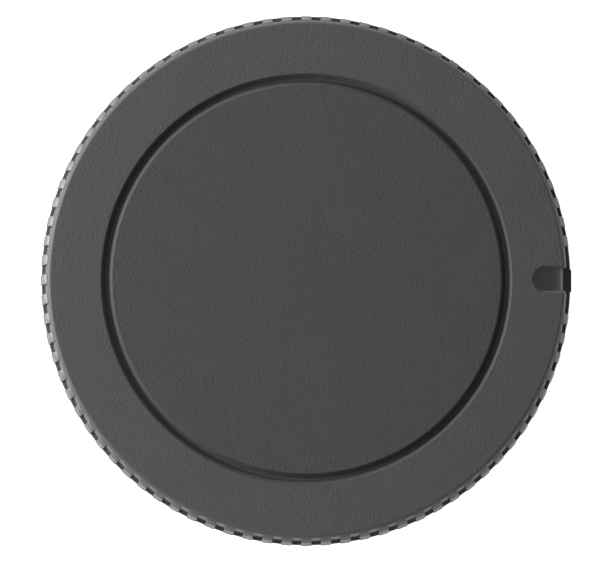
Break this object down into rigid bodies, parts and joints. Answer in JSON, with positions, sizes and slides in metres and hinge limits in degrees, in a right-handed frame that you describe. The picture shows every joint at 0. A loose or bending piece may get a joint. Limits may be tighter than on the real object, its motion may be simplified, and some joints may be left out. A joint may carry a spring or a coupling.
{
  "type": "camera body cap",
  "caption": "Round moulded cap that closes a camera's lens mount: flat front with a ring groove, toothed rim, index mark, bayonet skirt behind.",
  "frame": {"origin": "on the cap's axis, at the free end of the bayonet skirt, which the cap stands on with its front face up", "axes": "+Z along the cap's axis towards the front face, +X from the axis towards the index mark on the rim"},
  "size_m": [0.062, 0.062, 0.0092],
  "materials": {
    "cap_plastic": "dark grey, fine spark-eroded texture"
  },
  "bodies": {
    "root": {"body_cap": "cap_plastic"}
  },
  "joints": []
}
